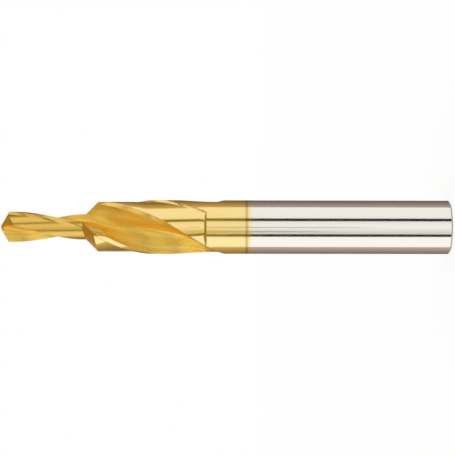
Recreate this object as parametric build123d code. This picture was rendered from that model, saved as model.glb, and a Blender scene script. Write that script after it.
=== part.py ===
from build123d import *
from math import acos, asin, cos, degrees, radians, sin, tan
import os

# A step drill ground from one bar of high-speed steel: a pilot for the core hole, a 90 degree
# step, and a body for the clearance hole, on one pair of flutes that runs through both.
# Millimetres. The shank's end face is at Z = 0 and the point is up. A "station" is a distance
# back from the point, which is how a drill is dimensioned.

overall_length = 95.0
body_diameter = 11.5
shank_diameter = 11.48  # the body tapers back to it from its corner, so that it runs free
pilot_diameter = 6.4
step_station = 17.95  # where the step starts, at the pilot's diameter
flute_end_station = 47.4
shank_station = 49.0
point_angle = 118.0
step_angle = 90.0
flute_lead = 62.6  # length of one turn, a 30 degree helix at the body's diameter
shank_chamfer = 0.35

# The margins are the narrow strips left at full diameter behind each cutting edge.
margin_angle = 11.0
body_clearance_diameter = 10.64
pilot_clearance_diameter = 5.4
clearance_end_station = 43.7
clearance_wheel_radius = 2.5  # edge radius of the wheel that ends the clearance
clearance_slowing = 0.2  # how much of the flute's slowing the clearance takes
clearance_sweep = 122.0  # from a cutting edge back over its land and into the next flute

# The flute, on a section square to the axis.
flute_angle = 103.0  # from a cutting edge forward to the heel of the land ahead
pilot_edge_lag = 4.5  # how far the pilot's cutting edge stands behind the body's
point_web = 1.3
body_web = 2.7
deepened_station = 8.0  # the pilot's flutes are ground deeper, full depth up to here
web_entry = Vector(1.9, -0.05)  # the wall's course round the web of the pilot
web_root = Vector(0.52, 0.44)
web_exit = Vector(0.13, 1.3)
web_shift_direction = 50.0  # the way the wheel backs out where the web thickens
pilot_heel_lead = 9.0  # how far the pilot's heel stands ahead of the body's
heel_lead = 7.0
heel_bevel_angle = 11.0  # bevel that takes the corner off each heel of the body
heel_bevel_drop = 0.62
heel_bevel_rise_angle = 20.0
heel_bevel_end_station = 29.0
heel_bevel_fade = 7.5

# The flute's run-out: the work stops turning while the wheel climbs out of the bar.
edge_crossing_station = 34.8  # where the first edge would cross +X if it never slowed
turn_slowing_station = 31.7
turn_stopping_length = 14.0
runout_station = 34.0
runout_centre = 1.0  # azimuth at which the first flute closes
runout_narrowing = 1.3  # the flute narrows like a superellipse with these two exponents
runout_roundness = 0.4
runout_last_width = 0.985  # share of the run-out after which the width is held

# Relief of the step. Each lip is also faced off to blunt the rake of the helix there.
step_relief_offset = 1.4  # eccentricity of the step's cone behind each lip
step_relief_lead = 29.0  # the relief starts this far ahead of the corner, where the lip starts
lip_facet_lag = 8.5  # how far the facet sets the body's corner back
lip_facet_slant = 13.5  # slant of the facet to the axis
lip_facet_length = 4.5
lip_facet_depth = 1.6

# Each flank of the point lies on a cone. Its apex is given from the point, with the lip on +X.
flank_apex = Vector(-3.86, 0.85, 2.44)
flank_axis_tilt = 33.0
chisel_direction = 50.0

# The point is split: a gash beside each lip carries the lip in towards the middle.
split_chisel = 0.5
gash_direction = 34.0  # of the lip that the gash adds
gash_slant = 30.0  # slant of the gash's floor to the axis
gash_depth = 0.12  # below the point, at the end of the chisel edge

body_radius = body_diameter / 2
shank_radius = shank_diameter / 2
pilot_radius = pilot_diameter / 2
body_floor = body_clearance_diameter / 2
pilot_floor = pilot_clearance_diameter / 2
corner_station = step_station + (body_radius - pilot_radius) / tan(radians(step_angle / 2))
pilot_corner_station = pilot_radius / tan(radians(point_angle / 2)) - 0.3
outside = body_radius + 1.6  # where the cutters are clear of the bar
shoulder = 7  # the bevel starts at this point of the flute's wall


def polar(radius, azimuth, station=overall_length):
    """Point at a radius, an azimuth in degrees and a station."""
    turn = radians(azimuth)
    return Vector(radius * cos(turn), radius * sin(turn), overall_length - station)


def edge_azimuth(station, slowing=1.0):
    """Azimuth of the body's first cutting edge: a helix that slows to a stop."""
    steady = min(station, turn_slowing_station) - edge_crossing_station
    slowed = min(max(station - turn_slowing_station, 0), turn_stopping_length)
    turned = steady + slowed - slowing * slowed**2 / (2 * turn_stopping_length)
    return -turned * 360 / flute_lead


def web_shift(station):
    """How far the wheel stands out from its depth in the pilot, where the web thickens."""
    share = (station - deepened_station) / (corner_station - deepened_station)
    share = min(max(share, 0), 1)
    eased = share**2 * (3 - 2 * share)
    return polar((body_web - point_web) / 2 * eased, web_shift_direction)


def unbevelled(station):
    """0 where the heel's bevel is whole, and 1 where it has faded out."""
    return min(max((station - heel_bevel_end_station) / heel_bevel_fade, 0), 1)


def flute_wall(station):
    """Points of a flute's wall from the cutting edge, which is on +X, round the web to the
    heel of the land ahead. The wall runs on past the bar at both ends."""
    shift = web_shift(station)
    bevel_start = polar(body_floor - heel_bevel_drop, flute_angle - heel_bevel_angle)
    bevel_end = polar(outside, flute_angle + heel_bevel_rise_angle)
    plain_start = polar((pilot_radius + body_floor) / 2, flute_angle - heel_lead)
    plain_end = polar(outside, flute_angle + 1.6)
    return [
        Vector(outside, -0.2),
        polar(body_radius, 0),
        polar(pilot_radius, -pilot_edge_lag) + shift,
        web_entry + shift,
        web_root + shift,
        web_exit + shift,
        polar(pilot_floor, flute_angle - pilot_heel_lead) + shift,
        bevel_start + (plain_start - bevel_start) * unbevelled(station),
        polar(body_floor, flute_angle),
        bevel_end + (plain_end - bevel_end) * unbevelled(station),
    ]


def pilot_edge_azimuth(station):
    """Azimuth of the pilot's first cutting edge, which gains on the body's as the web thickens."""
    gain = degrees(web_shift(station).Y / pilot_radius)
    return edge_azimuth(station) - pilot_edge_lag + gain


def climbing_wall(station):
    """A flute's wall in the run-out, and its turn. The steady wall is stretched so that its
    edge, its root and its heel follow those of the run-out."""
    wall = flute_wall(station)
    share = (station - runout_station) / (flute_end_station - runout_station)
    share = min(share, runout_last_width)
    width = flute_angle * (1 - share**runout_narrowing) ** runout_roundness
    root_radius = body_web / 2 + (body_radius - body_web / 2) * share**2
    clear = polar(1.2 * max(station - flute_end_station, 0), width / 2)
    edge, root, heel = wall[1], wall[4], polar(body_radius, flute_angle)
    root_share = edge.get_angle(root) / flute_angle
    new_edge = polar(body_radius, 0) + clear
    new_root = polar(root_radius, width * root_share) + clear
    new_heel = polar(body_radius, width) + clear
    to_edge, to_heel = edge - root, heel - root
    area = to_edge.cross(to_heel).Z
    stretched = []
    for point in wall:
        edge_share = (point - root).cross(to_heel).Z / area
        heel_share = to_edge.cross(point - root).Z / area
        stretched.append(
            new_root + (new_edge - new_root) * edge_share + (new_heel - new_root) * heel_share
        )
    turn = max(edge_azimuth(station), runout_centre - width / 2)
    return stretched, turn


corner_azimuth = edge_azimuth(corner_station) - lip_facet_lag


def flute_section(station):
    """Outline of what a flute's wheel takes away at a station."""
    if station <= runout_station:
        wall, turn = flute_wall(station), edge_azimuth(station)
    else:
        wall, turn = climbing_wall(station)
    wall = [point.rotate(Axis.Z, turn) for point in wall]
    arriving = (wall[shoulder] - wall[shoulder - 1]).normalized()
    leaving = (wall[shoulder + 1] - wall[shoulder]).normalized()
    rounding = unbevelled(station) / 2
    before = arriving + (leaving - arriving) * rounding
    after = leaving + (arriving - leaving) * rounding
    crown = (wall[0] + wall[-1]).normalized() * (outside + 3)
    pieces = [
        Spline(*wall[: shoulder + 1], tangents=(wall[1] - wall[0], before)),
        Spline(*wall[shoulder:], tangents=(after, wall[-1] - wall[-2])),
        ThreePointArc(wall[-1], crown, wall[0]),
    ]
    outline = Wire([piece.edge() for piece in pieces])
    return outline.moved(Location((0, 0, overall_length - station)))


def make_flute():
    """The space of the first flute, from ahead of the point to where the wheel is clear."""
    steady = [runout_station - 2.4 * i for i in range(15, -1, -1)]
    climb = [runout_station + rise for rise in (1.5, 3, 4.6, 6.2, 7.8, 9.2, 10.4, 11.4, 12.3, 13)]
    clear = [flute_end_station + rise for rise in (0.2, 0.8)]
    return Solid.make_loft([flute_section(station) for station in steady + climb + clear])


def clearance_section(radius, floor, edge, station):
    """Sector that clears a land behind its margin. It dips below the clearance's floor, and
    its front wall is a cove."""
    depth = radius - floor
    margin = edge - margin_angle
    back = edge - clearance_sweep
    middle = (margin + back) / 2

    def cove(behind, above):
        return polar(floor + above * depth, margin - degrees(behind * depth / radius), station)

    inner, outer = floor - 0.42 * depth, radius + 1
    rise, knee, foot = cove(0, 1), cove(0.7, 0.16), cove(2.2, -0.42)
    rim_front, rim_back = polar(outer, margin, station), polar(outer, back, station)
    floor_back = polar(inner, back, station)
    pieces = [
        ThreePointArc(floor_back, polar(inner, middle, station), foot),
        ThreePointArc(foot, knee, rise),
        Line(rise, rim_front),
        ThreePointArc(rim_front, polar(outer, middle, station), rim_back),
        Line(rim_back, floor_back),
    ]
    return Wire([piece.edge() for piece in pieces])


def make_body_clearance():
    """Clearance of the body's first land, ended by the round edge of its wheel."""
    first, last = step_station - 1, clearance_end_station + 1
    stations = [first + (last - first) * i / 12 for i in range(13)]
    sections = [
        clearance_section(body_radius, body_floor, edge_azimuth(s, clearance_slowing), s)
        for s in stations
    ]
    depth = body_radius - body_floor
    sweep = acos(1 - depth / clearance_wheel_radius)
    end = overall_length - clearance_end_station
    start = end + clearance_wheel_radius * sin(sweep)
    knee_radius = body_floor + clearance_wheel_radius * (1 - cos(sweep / 2))
    knee_height = start - clearance_wheel_radius * sin(sweep / 2)
    top = overall_length - first + 1
    profile = [
        Line((body_floor, top), (body_floor, start)),
        ThreePointArc((body_floor, start), (knee_radius, knee_height), (body_radius, end)),
        Polyline((body_radius, end), (outside, end), (outside, top), (body_floor, top)),
    ]
    ring = revolve(Plane.XZ * make_face(profile), Axis.Z)
    return ring & Solid.make_loft(sections)


def make_pilot_clearance():
    stations = [-1 + 2.4 * i for i in range(11)]
    sections = [
        clearance_section(pilot_radius, pilot_floor, pilot_edge_azimuth(s), s)
        for s in stations
    ]
    ring = Cylinder(pilot_radius + 2, 40) - Cylinder(pilot_floor, 40)
    return Pos(0, 0, overall_length - 10) * ring & Solid.make_loft(sections)


def make_flank_tool():
    """What is ground off one flank of the point, with its lip on +X and the point at zero."""
    axis = Vector(sin(radians(flank_axis_tilt)), 0, -cos(radians(flank_axis_tilt)))
    half_angle = (flank_apex * -1).get_angle(axis)
    length = 14
    cone_base = Plane(origin=flank_apex + axis * length, z_dir=axis * -1)
    cone = Solid.make_cone(length * tan(radians(half_angle)), 0, length, cone_base)
    side = Rot(0, 0, chisel_direction - 90) * Pos(5 - 0.1, 0, -1.5) * Box(10, 10, 9)
    return side - cone


def make_gash():
    """What the gash beside one lip takes away, in the frame of make_flank_tool. One wall stands
    under the new lip, and the other slants down into the flute."""
    turn, slant = radians(gash_direction), radians(gash_slant)
    start = Vector(split_chisel / 2, 0).rotate(Axis.Z, chisel_direction) - Vector(0, 0, gash_depth)
    floor_normal = Vector(cos(turn) * cos(slant), sin(turn) * cos(slant), sin(slant))
    valley = Vector(cos(turn) * sin(slant), sin(turn) * sin(slant), -cos(slant))
    corner = Plane(origin=start, x_dir=valley, z_dir=floor_normal)
    side = -1 if corner.y_dir.Y < 0 else 1
    length, reach = 6, 3
    return corner * Pos(0, side * reach / 2, reach / 2) * Box(length, reach, reach)


def make_step_cone():
    """Everything below the relieved cone of the step's first lip, which runs out to the corner."""
    corner = polar(body_radius, corner_azimuth, corner_station)
    away = corner_azimuth + step_relief_lead + 90
    axis = polar(step_relief_offset, away, corner_station)
    widening = tan(radians(step_angle / 2))
    apex_height = axis.Z + (corner - axis).length / widening
    base_plane = Plane(origin=(axis.X, axis.Y, 0))
    return Solid.make_cone(apex_height * widening, 0, apex_height, base_plane)


def make_lip_facet():
    """The wedge ground away ahead of the step's first lip. It runs out of the flute's wall."""
    corner = polar(body_radius, corner_azimuth, corner_station)
    inner = flute_wall(step_station)[2].rotate(Axis.Z, edge_azimuth(step_station))
    inner = inner + Vector(0, 0, overall_length - step_station)
    slant = radians(lip_facet_slant)
    down = polar(sin(slant), corner_azimuth - 90) - Vector(0, 0, cos(slant))
    along = inner - corner
    ahead = down.cross(along).normalized()
    frame = Plane(origin=corner, x_dir=along, z_dir=ahead)
    past_rim, above = 1.8, 0.3
    outline = Polyline(
        (-past_rim, above), (along.length, above), (-past_rim, -lip_facet_length), close=True
    )
    return extrude(make_face(frame * outline), lip_facet_depth, dir=ahead)


def both_sides(shape):
    """A tool for the first land or flute, and its twin half a turn round."""
    return [shape, Rot(0, 0, 180) * shape]


def make_body():
    """Shank and body in one, with the step's cones and the body's clearance ground."""
    profile = Polyline(
        (0, 0),
        (shank_radius - shank_chamfer, 0),
        (shank_radius, shank_chamfer),
        (shank_radius, overall_length - shank_station),
        (body_radius, overall_length - corner_station),
        (body_radius, overall_length),
        (0, overall_length),
        close=True,
    )
    bar = revolve(Plane.XZ * make_face(profile), Axis.Z)
    for cone in both_sides(make_step_cone()):
        bar = bar & cone
    return bar - both_sides(make_body_clearance())


def make_pilot():
    """The pilot with its clearance and its point ground. It is rooted well inside the body."""
    upward = (Align.CENTER, Align.CENTER, Align.MIN)
    pilot = Pos(0, 0, overall_length - 24) * Cylinder(pilot_radius, 25, align=upward)
    pilot = pilot - both_sides(make_pilot_clearance())
    lip_lead = degrees(asin(point_web / pilot_diameter))
    lip = pilot_edge_azimuth(pilot_corner_station) - lip_lead
    point = Pos(0, 0, overall_length) * Rot(0, 0, lip)
    return pilot - both_sides(point * make_flank_tool()) - both_sides(point * make_gash())


drill = make_body() + make_pilot()
drill = drill - both_sides(make_flute())
drill = drill - both_sides(make_lip_facet())

os.makedirs("parts", exist_ok=True)
export_step(drill, "parts/step_drill.step")
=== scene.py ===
"""Looks of a two-flute step drill. Run as a script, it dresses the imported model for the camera."""

from math import cos, pi, radians, sin
from typing import NamedTuple

import bpy
from mathutils import Matrix, Vector

bl_info = {
    "name": "Step drill",
    "version": (1, 0, 0),
    "blender": (4, 5, 0),
    "location": "3D View > Sidebar > Step drill",
    "description": "Dresses a step drill and sets the stage for it",
    "category": "Object",
}

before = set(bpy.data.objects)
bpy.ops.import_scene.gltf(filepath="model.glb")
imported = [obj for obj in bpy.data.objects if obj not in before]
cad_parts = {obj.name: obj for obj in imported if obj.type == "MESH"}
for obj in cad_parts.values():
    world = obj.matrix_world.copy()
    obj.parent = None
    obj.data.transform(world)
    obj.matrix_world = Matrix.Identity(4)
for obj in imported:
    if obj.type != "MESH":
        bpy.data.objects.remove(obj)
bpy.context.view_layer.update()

MM = 0.001
PHOTO_WIDTH = 455  # pixels, and the height is the same
SENSOR_WIDTH = 36.0  # millimetres
DRILL_NODE = "step_drill"

# A place's share is its distance from the axis over the least radius of the lands there. A
# surface starts at the first share and is whole at the second.
FLUTE_SHARES = (0.905, 0.89)
BEVEL_SHARES = (1.0, 0.99)
CLEARANCE_SHARES = (1.03, 1.02)

BEVEL_SATIN = 0.6  # how satin the bevelled heels are
WALL_FACING = (0.5, 0.67)  # a wall faces outward less than this, beside the lands and under them
WALL_BLEND = 0.05
CONE_STEEPNESS = (0.5, 0.6)  # how far a cone's normal leans along the axis

# How far under the step the relief of the lands starts, is whole, fades and ends.
RELIEF_DEPTHS = (1.5 * MM, 5.5 * MM, 9 * MM, 13 * MM)


class Card(NamedTuple):
    """A card that stands round the drill and that only mirrors show. Its angles are in degrees
    from the camera's side, positive towards +X, and its heights in millimetres. Its tone runs
    from one to the other between two angles. The warm tones are those beside the coating."""

    name: str
    first: float
    last: float
    tones: tuple
    warm_tones: tuple
    angles: tuple = (0, 90)
    heights: tuple = (-500, 600)
    forward: float = 0  # how far it stands in front of the others, in millimetres


# The ground steel mirrors these as the bands and lines that run along it.
CARDS = (
    Card("side_card_up", 93, 160, ("#A99F9A", "#706A65"), ("#C8AD71", "#846C46"), (93, 135)),
    Card("upper_card", 37.0, 93, ("#EFF3F6", "#F4F6F7"), ("#F8F0DA", "#FAF4E8"), (36, 70)),
    Card("gap_card_up", 24.9, 37.0, ("#1C1815",) * 2, ("#887400",) * 2),
    Card("front_card_up", 0, 24.9, ("#F6FBFF", "#EAEFF3"), ("#FBF2E4", "#FAEFDD"), (0, 20)),
    Card("front_card_down", 0, -29.8, ("#F6FBFF", "#D6D9D9"), ("#FBF2E4", "#DCCB98"), (0, 24)),
    Card("gap_card_down", -29.8, -41, ("#1C1815",) * 2, ("#887400",) * 2),
    Card("side_card_down", -93, -160, ("#B6ADA4", "#847B71"), ("#D1B375", "#97815D"), (93, 135)),
    Card("middle_line", 0.9, -3.3, ("#BCBFC2",) * 2, ("#A89448",) * 2, heights=(-20, 60), forward=4),
    Card("lower_line", -16.6, -20.8, ("#9C9E9E",) * 2, ("#B3A050",) * 2, heights=(0, 60), forward=4),
)

# Level cards over and under the drill, each with its height and its radius.
LEVEL_CARDS = (("card_above", 420 * MM, 520 * MM), ("card_below", -420 * MM, 300 * MM))
LEVEL_TONES = ("#ADA8A4",) * 2
LEVEL_WARM_TONES = ("#9E8254",) * 2


def linear(hex_colour):
    """An sRGB hex colour as the linear RGBA that sockets take."""
    channels = [int(hex_colour[i : i + 2], 16) / 255 for i in (1, 3, 5)]
    return tuple(c / 12.92 if c <= 0.04045 else ((c + 0.055) / 1.055) ** 2.4 for c in channels) + (1,)


def add_node(tree, kind, links=None, **settings):
    """Add a node. Settings are its attributes, and values holds constants for its inputs. Inputs
    go by name, or by index where a name repeats, as in the colour sockets 6 and 7 of a Mix."""
    node = tree.nodes.new(kind)
    values = settings.pop("values", {})
    for name, value in settings.items():
        setattr(node, name, value)
    for socket, value in values.items():
        node.inputs[socket].default_value = value
    for socket, source in (links or {}).items():
        tree.links.new(source, node.inputs[socket])
    return node


def new_material(name):
    """A material with an empty node tree, and that tree."""
    material = bpy.data.materials.new(name)
    material.use_nodes = True
    material.node_tree.nodes.clear()
    return material, material.node_tree


def length_setting(name, description, millimetres):
    """A length in a group of settings."""
    return bpy.props.FloatProperty(
        name=name,
        description=description,
        default=millimetres * MM,
        subtype="DISTANCE",
        unit="LENGTH",
    )


def factor_setting(name, description, share):
    """A share from 0 to 1 in a group of settings."""
    return bpy.props.FloatProperty(
        name=name, description=description, default=share, min=0.0, max=1.0, subtype="FACTOR"
    )


def colour_setting(name, description, hex_colour):
    """An sRGB hex colour in a group of settings."""
    return bpy.props.StringProperty(name=name, description=description, default=hex_colour)


class StepDrillFinish(bpy.types.PropertyGroup):
    """Finish of the steel and of its coating."""

    coating_end: length_setting(
        "Coating end", "Height above the shank's end at which the gold coating stops", 42.95
    )
    coating_fade: length_setting(
        "Coating fade", "Length over which the coating thins out below its end", 1.3
    )
    film_width: length_setting(
        "Film width", "Half the width of the brown line at the coating's end", 0.45
    )
    film_strength: factor_setting(
        "Film strength", "How far the brown line hides the coating", 0.55
    )
    step_height: length_setting(
        "Step height", "Height above the shank's end at which the step meets the pilot", 77.05
    )
    body_floor: length_setting("Body clearance radius", "Least radius of the body's lands", 5.28)
    pilot_floor: length_setting("Pilot clearance radius", "Least radius of the pilot's lands", 2.66)
    relief_slope: bpy.props.FloatProperty(
        name="Relief slope",
        description="How steeply the lands fall away behind their margins just under the step",
        default=0.19,
    )
    flute_lead: length_setting("Flute lead", "Length in which a flute goes once round", 62.6)
    mark_spacing: length_setting(
        "Mark spacing", "Distance between the grinding marks in a flute", 0.9
    )
    mark_depth: length_setting(
        "Mark depth", "Depth of the grinding marks in a flute, as shaded", 0.12
    )
    mark_length: bpy.props.FloatProperty(
        name="Mark length",
        description="How many times as long as wide the grinding marks are",
        default=25.0,
    )
    steel_roughness: factor_setting("Steel roughness", "Roughness of the bare shank", 0.11)
    coating_roughness: factor_setting(
        "Coating roughness", "Roughness of the coated lands of the body", 0.15
    )
    pilot_roughness: factor_setting(
        "Pilot roughness", "Roughness of the coated lands of the pilot", 0.25
    )
    satin_roughness: factor_setting(
        "Satin roughness", "Roughness of the flutes, the point and the step", 0.42
    )
    coating_colour: colour_setting("Coating", "Colour of the gold nitride coating", "#FFE8A4")
    pilot_colour: colour_setting(
        "Pilot coating", "Colour of the coating on the pilot's lands", "#E9C86D"
    )
    # Painted shade: the satin gold is deeper than the coating's own gold, to stand for the light that the
    # hollows of the flutes, the point and the step catch twice.
    painted_shade_satin_colour: colour_setting(
        "Satin gold, painted shade", "Deeper gold of the coating where the steel under it is satin", "#FFDE78"
    )
    # Painted shade: the gold in the grinding marks is darker still, for the shade in each mark and the
    # light it catches twice.
    painted_shade_mark_colour: colour_setting(
        "Marks' gold, painted shade", "Gold of the coating in the marks, where light is caught twice", "#F5C448"
    )
    steel_colour: colour_setting("Steel", "Colour of the bare ground steel", "#FBF4EA")
    film_colour: colour_setting(
        "Film", "Colour of the thin brown film where the coating ends", "#B08A3C"
    )


class StepDrillStage(bpy.types.PropertyGroup):
    """Camera and studio."""

    camera_distance: length_setting("Camera distance", "From the lens to the drill's axis", 285)
    camera_height: length_setting(
        "Camera height", "Height of the middle of the view above the shank's end", 46.96
    )
    pixels_per_mm: bpy.props.FloatProperty(
        name="Scale", description="Pixels of the view to a millimetre of the drill", default=4.713
    )
    card_distance: length_setting("Card distance", "From the drill's axis to the cards round it", 400)
    card_join: length_setting(
        "Card join", "Height above the shank's end from which the cards are painted warm", 40
    )
    floor_radius: length_setting("Floor radius", "Radius of the board under the drill", 1500)
    floor_colour: colour_setting("Floor", "Colour of the matt board under the drill", "#FAFAF8")


def find_surfaces(tree, height, spoke, finish):
    """Masks of the ground surfaces, from a place's height and from its spoke, which goes to it
    straight out from the axis. Returns how satin the place is, whether it is on the pilot, and
    its share."""
    step_blend = 0.01 * MM
    pilot = add_node(
        tree,
        "ShaderNodeMapRange",
        {"Value": height},
        values={"From Min": finish.step_height, "From Max": finish.step_height + step_blend},
    )
    least_radius = add_node(
        tree,
        "ShaderNodeMapRange",
        {"Value": pilot.outputs[0]},
        values={"To Min": finish.body_floor, "To Max": finish.pilot_floor},
    )
    radius = add_node(tree, "ShaderNodeVectorMath", {0: spoke}, operation="LENGTH")
    share = add_node(
        tree,
        "ShaderNodeMath",
        {0: radius.outputs["Value"], 1: least_radius.outputs[0]},
        operation="DIVIDE",
    )
    flute = add_node(
        tree,
        "ShaderNodeMapRange",
        {"Value": share.outputs[0]},
        values={"From Min": FLUTE_SHARES[0], "From Max": FLUTE_SHARES[1]},
    )
    bevel = add_node(
        tree,
        "ShaderNodeMapRange",
        {"Value": share.outputs[0]},
        values={"From Min": BEVEL_SHARES[0], "From Max": BEVEL_SHARES[1], "To Max": BEVEL_SATIN},
    )

    # A land faces away from the axis, a flute's wall across it, and a cone along it. The low
    # walls between a land and its clearance are as bright as the land.
    outward = add_node(tree, "ShaderNodeVectorMath", {0: spoke}, operation="NORMALIZE")
    normal = add_node(tree, "ShaderNodeNewGeometry").outputs["Normal"]
    facing = add_node(
        tree, "ShaderNodeVectorMath", {0: normal, 1: outward.outputs[0]}, operation="DOT_PRODUCT"
    )
    limit = add_node(
        tree,
        "ShaderNodeMapRange",
        {"Value": share.outputs[0]},
        values={
            "From Min": BEVEL_SHARES[0],
            "From Max": BEVEL_SHARES[1],
            "To Min": WALL_FACING[0],
            "To Max": WALL_FACING[1],
        },
    )
    turned = add_node(
        tree, "ShaderNodeMath", {0: limit.outputs[0], 1: facing.outputs["Value"]}, operation="SUBTRACT"
    )
    wall = add_node(
        tree,
        "ShaderNodeMapRange",
        {"Value": turned.outputs[0]},
        values={"From Min": -WALL_BLEND, "From Max": WALL_BLEND},
    )
    slope = add_node(tree, "ShaderNodeSeparateXYZ", {"Vector": normal})
    steepness = add_node(tree, "ShaderNodeMath", {0: slope.outputs["Z"]}, operation="ABSOLUTE")
    cone = add_node(
        tree,
        "ShaderNodeMapRange",
        {"Value": steepness.outputs[0]},
        values={"From Min": CONE_STEEPNESS[0], "From Max": CONE_STEEPNESS[1]},
    )
    satin = flute
    for mask in (bevel, wall, cone):
        satin = add_node(
            tree, "ShaderNodeMath", {0: satin.outputs[0], 1: mask.outputs[0]}, operation="MAXIMUM"
        )
    return satin.outputs[0], pilot.outputs[0], share.outputs[0]


def relieve_lands(tree, height, spoke, share, finish):
    """The normal, leant on the lands behind their margins. Just under the step the lands fall
    away by about ten degrees towards the heel, and it is the shading that shows it."""
    start, whole, fading, end = (finish.step_height - depth for depth in RELIEF_DEPTHS)
    near_step = add_node(
        tree,
        "ShaderNodeMapRange",
        {"Value": height},
        values={"From Min": start, "From Max": whole, "To Max": finish.relief_slope},
    )
    behind_margin = add_node(
        tree,
        "ShaderNodeMapRange",
        {"Value": share, "To Max": near_step.outputs["Result"]},
        values={"From Min": CLEARANCE_SHARES[0], "From Max": CLEARANCE_SHARES[1]},
    )
    fall = add_node(
        tree,
        "ShaderNodeMapRange",
        {"Value": height, "To Max": behind_margin.outputs["Result"]},
        values={"From Min": end, "From Max": fading},
    )
    heelward = add_node(
        tree, "ShaderNodeVectorMath", {0: spoke}, operation="CROSS_PRODUCT", values={1: (0, 0, 1)}
    )
    level = add_node(tree, "ShaderNodeVectorMath", {0: heelward.outputs[0]}, operation="NORMALIZE")
    lean = add_node(
        tree,
        "ShaderNodeVectorMath",
        {0: level.outputs[0], "Scale": fall.outputs["Result"]},
        operation="SCALE",
    )
    normal = add_node(tree, "ShaderNodeNewGeometry").outputs["Normal"]
    leant = add_node(tree, "ShaderNodeVectorMath", {0: normal, 1: lean.outputs[0]}, operation="ADD")
    relieved = add_node(tree, "ShaderNodeVectorMath", {0: leant.outputs[0]}, operation="NORMALIZE")
    return relieved.outputs[0]


def grind_marks(tree, place, height, finish):
    """Streaks left by the flute's wheel. They lie in coordinates that turn with the helix, so
    that they run along the flute, and are drawn about ten times as coarse as a fine wheel
    leaves them, or they wouldn't show. They bump the satin surfaces, and they also darken the
    gold there, which is painted shade."""
    turn = add_node(
        tree, "ShaderNodeMath", {0: height}, operation="MULTIPLY", values={1: -2 * pi / finish.flute_lead}
    )
    unwound = add_node(
        tree,
        "ShaderNodeVectorRotate",
        {"Vector": place, "Angle": turn.outputs[0]},
        rotation_type="Z_AXIS",
    )
    stretched = add_node(
        tree,
        "ShaderNodeVectorMath",
        {0: unwound.outputs[0]},
        operation="MULTIPLY",
        values={1: (1, 1, 1 / finish.mark_length)},
    )
    marks = add_node(
        tree,
        "ShaderNodeTexNoise",
        {"Vector": stretched.outputs[0]},
        values={"Scale": 1 / finish.mark_spacing, "Detail": 3.0, "Roughness": 0.65},
    )
    return marks.outputs[0]


def coat(tree, height, satin, pilot, marks, finish):
    """Colour of the coated and of the bare steel, and how fully a place is coated. The colour carries
    painted shade on the satin surfaces and in the grinding marks.
    """
    # Painted shade in the grinding marks: the gold is darker where their noise is deep.
    deepest, shallowest = 0.35, 0.65  # of the noise that makes the marks
    painted_mark_shade = add_node(
        tree,
        "ShaderNodeMapRange",
        {"Value": marks},
        values={"From Min": deepest, "From Max": shallowest},
    )
    # The satin gold is painted shade, deeper than the lands' gold.
    painted_shade_satin_gold = add_node(
        tree,
        "ShaderNodeMix",
        {"Factor": painted_mark_shade.outputs[0]},
        data_type="RGBA",
        values={6: linear(finish.painted_shade_mark_colour), 7: linear(finish.painted_shade_satin_colour)},
    )
    land_gold = add_node(
        tree,
        "ShaderNodeMix",
        {"Factor": pilot},
        data_type="RGBA",
        values={6: linear(finish.coating_colour), 7: linear(finish.pilot_colour)},
    )
    # Where the place is satin, the painted shade of the satin gold takes over from the lands' gold.
    gold = add_node(
        tree,
        "ShaderNodeMix",
        {"Factor": satin, 6: land_gold.outputs[2], 7: painted_shade_satin_gold.outputs[2]},
        data_type="RGBA",
    )
    end = finish.coating_end
    whole = end - 0.1 * MM
    coated = add_node(
        tree,
        "ShaderNodeMapRange",
        {"Value": height},
        interpolation_type="SMOOTHSTEP",
        values={"From Min": end - finish.coating_fade, "From Max": whole},
    )
    plain = add_node(
        tree,
        "ShaderNodeMix",
        {"Factor": coated.outputs[0], 7: gold.outputs[2]},
        data_type="RGBA",
        values={6: linear(finish.steel_colour)},
    )
    past_end = add_node(tree, "ShaderNodeMath", {0: height}, operation="SUBTRACT", values={1: end})
    from_end = add_node(tree, "ShaderNodeMath", {0: past_end.outputs[0]}, operation="ABSOLUTE")
    film_core = finish.film_width / 7
    film = add_node(
        tree,
        "ShaderNodeMapRange",
        {"Value": from_end.outputs[0]},
        values={"From Min": finish.film_width, "From Max": film_core, "To Max": finish.film_strength},
    )
    colour = add_node(
        tree,
        "ShaderNodeMix",
        {"Factor": film.outputs[0], 6: plain.outputs[2]},
        data_type="RGBA",
        values={7: linear(finish.film_colour)},
    )
    return colour.outputs[2], coated.outputs[0]


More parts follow.
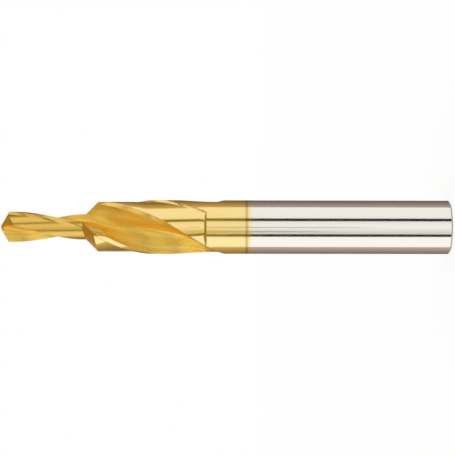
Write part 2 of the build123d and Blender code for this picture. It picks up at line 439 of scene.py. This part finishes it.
def coated_steel(finish):
    """High-speed steel, ground all over, with a vapour-deposited gold nitride coating over its
    cutting end. Cylindrical grinding leaves the lands and the shank bright enough to mirror the
    studio. The flutes, the point and the step come off coarser wheels and are satin, and their
    gold is painted deeper, a painted shade for the light that their hollows catch twice. The
    bevelled heels lie between the two. The coating is a little rougher than the steel, and thins
    out on the shank with a brown line."""
    material, tree = new_material("ground_steel_nitride_coated")
    place = add_node(tree, "ShaderNodeTexCoord").outputs["Object"]
    height = add_node(tree, "ShaderNodeSeparateXYZ", {"Vector": place}).outputs["Z"]
    spoke = add_node(
        tree, "ShaderNodeVectorMath", {0: place}, operation="MULTIPLY", values={1: (1, 1, 0)}
    ).outputs[0]
    satin, pilot, share = find_surfaces(tree, height, spoke, finish)
    marks = grind_marks(tree, place, height, finish)
    colour, coated = coat(tree, height, satin, pilot, marks, finish)
    bright = add_node(
        tree,
        "ShaderNodeMapRange",
        {"Value": coated},
        values={"To Min": finish.steel_roughness, "To Max": finish.coating_roughness},
    )
    duller = add_node(
        tree,
        "ShaderNodeMapRange",
        {"Value": pilot, "To Min": bright.outputs[0]},
        values={"To Max": finish.pilot_roughness},
    )
    roughness = add_node(
        tree,
        "ShaderNodeMapRange",
        {"Value": satin, "To Min": duller.outputs[0]},
        values={"To Max": finish.satin_roughness},
    )
    marked = add_node(tree, "ShaderNodeMath", {0: marks, 1: satin}, operation="MULTIPLY")
    grain = add_node(
        tree,
        "ShaderNodeBump",
        {"Height": marked.outputs[0], "Normal": relieve_lands(tree, height, spoke, share, finish)},
        values={"Strength": 1.0, "Distance": finish.mark_depth},
    )
    surface = add_node(
        tree,
        "ShaderNodeBsdfPrincipled",
        {
            "Base Color": colour,
            "Roughness": roughness.outputs["Result"],
            "Normal": grain.outputs["Normal"],
        },
        values={"Metallic": 1.0},
    )
    add_node(tree, "ShaderNodeOutputMaterial", {"Surface": surface.outputs["BSDF"]})
    return material


class OBJECT_OT_step_drill_body(bpy.types.Operator):
    """Dress the drill"""

    bl_idname = "object.step_drill_body"
    bl_label = "Drill"

    def execute(self, context):
        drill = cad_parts[DRILL_NODE]
        drill.data.materials.clear()
        drill.data.materials.append(coated_steel(context.scene.step_drill_finish))
        return {"FINISHED"}


def seen_directly(tree):
    """1 for rays from the camera, off a mirror or through glass, else 0."""
    ray = add_node(tree, "ShaderNodeLightPath")
    mirrored = add_node(
        tree,
        "ShaderNodeMath",
        {0: ray.outputs["Is Camera Ray"], 1: ray.outputs["Is Glossy Ray"]},
        operation="MAXIMUM",
    )
    seen = add_node(
        tree,
        "ShaderNodeMath",
        {0: mirrored.outputs[0], 1: ray.outputs["Is Transmission Ray"]},
        operation="MAXIMUM",
    )
    return seen.outputs[0]


def light_room(scene):
    """A white room, which the steel mirrors, and which lights the rest softly."""
    world = bpy.data.worlds.new("white_room")
    scene.world = world
    world.use_nodes = True
    tree = world.node_tree
    tree.nodes.clear()
    white = add_node(tree, "ShaderNodeBackground", values={"Color": linear("#FFFFFF"), "Strength": 1.0})
    add_node(tree, "ShaderNodeOutputWorld", {"Surface": white.outputs[0]})


def add_softbox(scene, stage):
    """One large soft lamp to the camera's left. The mirror-bright steel doesn't show it."""
    size, distance, angle = 600 * MM, 700 * MM, radians(-20)
    radiance = 0.4
    lamp = bpy.data.lights.new("softbox", "AREA")
    lamp.shape = "RECTANGLE"
    lamp.size, lamp.size_y = size, size
    lamp.energy = radiance * lamp.size * lamp.size_y * pi
    softbox = bpy.data.objects.new("softbox", lamp)
    scene.collection.objects.link(softbox)
    back, up = Vector((sin(angle), -cos(angle), 0)), Vector((0, 0, 1))
    turned = Matrix((up.cross(back), up, back)).transposed().to_4x4()
    softbox.matrix_world = Matrix.Translation(back * distance + up * stage.camera_height) @ turned
    softbox.visible_camera = False
    softbox.visible_glossy = False


def card_stock(name, tones, warm_tones, angles, join):
    """Card that glows in its own tone, standing in for evenly lit card. Its tone changes with the
    angle round the drill, and it is warm above the join, where the coated end of the drill
    mirrors it."""
    material, tree = new_material(name)
    place = add_node(tree, "ShaderNodeTexCoord").outputs["Object"]
    split = add_node(tree, "ShaderNodeSeparateXYZ", {"Vector": place})
    aside = add_node(tree, "ShaderNodeMath", {0: split.outputs["X"]}, operation="ABSOLUTE")
    front = add_node(
        tree, "ShaderNodeMath", {0: split.outputs["Y"]}, operation="MULTIPLY", values={1: -1.0}
    )
    angle = add_node(
        tree, "ShaderNodeMath", {0: aside.outputs[0], 1: front.outputs[0]}, operation="ARCTAN2"
    )
    change = add_node(
        tree,
        "ShaderNodeMapRange",
        {"Value": angle.outputs[0]},
        values={"From Min": radians(angles[0]), "From Max": radians(angles[1])},
    )
    plain, warm = (
        add_node(
            tree,
            "ShaderNodeMix",
            {"Factor": change.outputs["Result"]},
            data_type="RGBA",
            values={6: linear(first), 7: linear(last)},
        )
        for first, last in (tones, warm_tones)
    )
    join_blend = 2 * MM
    above_join = add_node(
        tree,
        "ShaderNodeMapRange",
        {"Value": split.outputs["Z"]},
        values={"From Min": join - join_blend, "From Max": join},
    )
    tone = add_node(
        tree,
        "ShaderNodeMix",
        {"Factor": above_join.outputs["Result"], 6: plain.outputs[2], 7: warm.outputs[2]},
        data_type="RGBA",
    )
    glow = add_node(tree, "ShaderNodeEmission", {"Color": tone.outputs[2]})
    add_node(tree, "ShaderNodeOutputMaterial", {"Surface": glow.outputs[0]})
    return material


def make_card_tree():
    """Geometry Nodes for a card that follows an arc round the drill."""
    tree = bpy.data.node_groups.new("curved_card", "GeometryNodeTree")
    sizes = (
        ("Distance", "DISTANCE"),
        ("First angle", "ANGLE"),
        ("Sweep", "ANGLE"),
        ("Lower edge", "DISTANCE"),
        ("Height", "DISTANCE"),
    )
    for name, subtype in sizes:
        tree.interface.new_socket(name, in_out="INPUT", socket_type="NodeSocketFloat").subtype = subtype
    tree.interface.new_socket("Stock", in_out="INPUT", socket_type="NodeSocketMaterial")
    tree.interface.new_socket("Card", in_out="OUTPUT", socket_type="NodeSocketGeometry")
    given = add_node(tree, "NodeGroupInput").outputs
    arc = add_node(
        tree,
        "GeometryNodeCurveArc",
        {
            "Radius": given["Distance"],
            "Start Angle": given["First angle"],
            "Sweep Angle": given["Sweep"],
        },
        values={"Resolution": 24},
    )
    edge = add_node(tree, "GeometryNodeCurveToMesh", {"Curve": arc.outputs[0]})
    down = add_node(tree, "ShaderNodeCombineXYZ", {"Z": given["Lower edge"]})
    lowered = add_node(
        tree, "GeometryNodeSetPosition", {"Geometry": edge.outputs[0], "Offset": down.outputs[0]}
    )
    rise = add_node(tree, "ShaderNodeCombineXYZ", {"Z": given["Height"]})
    raised = add_node(
        tree,
        "GeometryNodeExtrudeMesh",
        {"Mesh": lowered.outputs[0], "Offset": rise.outputs[0]},
        mode="EDGES",
    )
    real = add_node(tree, "GeometryNodeRealizeInstances", {"Geometry": raised.outputs["Mesh"]})
    painted = add_node(
        tree, "GeometryNodeSetMaterial", {"Geometry": real.outputs[0], "Material": given["Stock"]}
    )
    add_node(tree, "NodeGroupOutput", {"Card": painted.outputs[0]})
    return tree


def stage_in_mirrors(piece):
    """Let only mirrors show a piece of the stage."""
    piece.visible_camera = False
    piece.visible_diffuse = False
    piece.visible_shadow = False


def add_card(scene, tree, card, stage):
    """Make a curved card with the Geometry Nodes, and stand it round the drill."""
    lower, upper = card.heights
    camera_side = -90  # an arc's angles start at +X, and a card's at the camera's side
    settings = {
        "Distance": stage.card_distance - card.forward * MM,
        "First angle": radians(card.first + camera_side),
        "Sweep": radians(card.last - card.first),
        "Lower edge": lower * MM,
        "Height": (upper - lower) * MM,
        "Stock": card_stock(card.name, card.tones, card.warm_tones, card.angles, stage.card_join),
    }
    blank = bpy.data.objects.new(card.name + "_blank", bpy.data.meshes.new(card.name + "_blank"))
    scene.collection.objects.link(blank)
    modifier = blank.modifiers.new("curved_card", "NODES")
    modifier.node_group = tree
    for item in tree.interface.items_tree:
        if item.in_out == "INPUT":
            modifier[item.identifier] = settings[item.name]
    evaluated = blank.evaluated_get(bpy.context.evaluated_depsgraph_get())
    mesh = bpy.data.meshes.new_from_object(evaluated)
    bpy.data.objects.remove(blank)
    if not mesh.polygons:
        raise RuntimeError(f"{card.name} has no faces")
    mesh.name = card.name
    piece = bpy.data.objects.new(card.name, mesh)
    scene.collection.objects.link(piece)
    stage_in_mirrors(piece)


def add_disc(scene, name, height, radius, material):
    """A level disc, centred on the drill's axis."""
    rim = [(radius * cos(radians(a)), radius * sin(radians(a)), height) for a in range(0, 360, 5)]
    mesh = bpy.data.meshes.new(name)
    mesh.from_pydata(rim, [], [tuple(range(len(rim)))])
    mesh.materials.append(material)
    disc = bpy.data.objects.new(name, mesh)
    scene.collection.objects.link(disc)
    return disc


def white_board(stage):
    """Matt white board. It is white to the camera and in mirrors, but for a fifth of its own
    shading, which keeps the drill's shadow."""
    material, tree = new_material("matt_white_board")
    board = add_node(tree, "ShaderNodeBsdfDiffuse", values={"Color": linear(stage.floor_colour)})
    white = add_node(tree, "ShaderNodeEmission", values={"Color": linear("#FFFFFF"), "Strength": 1.0})
    whiteness = 0.8
    share = add_node(
        tree, "ShaderNodeMath", {0: seen_directly(tree)}, operation="MULTIPLY", values={1: whiteness}
    )
    shown = add_node(
        tree, "ShaderNodeMixShader", {0: share.outputs[0], 1: board.outputs[0], 2: white.outputs[0]}
    )
    add_node(tree, "ShaderNodeOutputMaterial", {"Surface": shown.outputs[0]})
    return material


def add_camera(scene, stage):
    """A long lens, level with the drill and turned so that the drill lies across the view."""
    data = bpy.data.cameras.new("camera")
    camera = bpy.data.objects.new("camera", data)
    scene.collection.objects.link(camera)
    view_width = PHOTO_WIDTH / stage.pixels_per_mm * MM
    data.sensor_width = SENSOR_WIDTH
    data.lens = SENSOR_WIDTH * stage.camera_distance / view_width
    data.clip_start, data.clip_end = 10 * MM, 20000 * MM
    tilt = 0.00154  # radians by which the drill lies off level in the photo
    right = Vector((tilt, 0, -1)).normalized()
    up = Vector((1, 0, tilt)).normalized()
    drop = 0.083 * MM  # the middle of the photo lies this far under the drill's axis
    place = Vector((-drop, -stage.camera_distance, stage.camera_height))
    turned = Matrix((right, up, right.cross(up))).transposed().to_4x4()
    camera.matrix_world = Matrix.Translation(place) @ turned
    scene.camera = camera


class OBJECT_OT_step_drill_stage(bpy.types.Operator):
    """Set the camera, the light, the cards and the floor"""

    bl_idname = "object.step_drill_stage"
    bl_label = "Stage"

    def execute(self, context):
        scene = context.scene
        stage = scene.step_drill_stage
        add_camera(scene, stage)
        light_room(scene)
        add_softbox(scene, stage)
        tree = make_card_tree()
        for card in CARDS:
            add_card(scene, tree, card, stage)
        stock = card_stock("level_card", LEVEL_TONES, LEVEL_WARM_TONES, (0, 90), stage.card_join)
        for name, height, radius in LEVEL_CARDS:
            stage_in_mirrors(add_disc(scene, name, height, radius, stock))
        floor = add_disc(scene, "floor", 0, stage.floor_radius, white_board(stage))
        floor.visible_glossy = False
        scene.view_settings.view_transform = "Standard"
        return {"FINISHED"}


class VIEW3D_PT_step_drill(bpy.types.Panel):
    """A button for the drill and one for its stage"""

    bl_label = "Step drill"
    bl_space_type = "VIEW_3D"
    bl_region_type = "UI"
    bl_category = "Step drill"

    def draw(self, context):
        for operator in OPERATORS:
            self.layout.operator(operator.bl_idname)


GROUPS = (StepDrillFinish, StepDrillStage)
OPERATORS = (OBJECT_OT_step_drill_body, OBJECT_OT_step_drill_stage)
CLASSES = GROUPS + OPERATORS + (VIEW3D_PT_step_drill,)


def register():
    for each in CLASSES:
        bpy.utils.register_class(each)
    bpy.types.Scene.step_drill_finish = bpy.props.PointerProperty(type=StepDrillFinish)
    bpy.types.Scene.step_drill_stage = bpy.props.PointerProperty(type=StepDrillStage)


def unregister():
    del bpy.types.Scene.step_drill_stage
    del bpy.types.Scene.step_drill_finish
    for each in reversed(CLASSES):
        bpy.utils.unregister_class(each)


def main():
    register()
    bpy.ops.object.step_drill_stage()
    bpy.ops.object.step_drill_body()


if __name__ == "__main__":
    main()
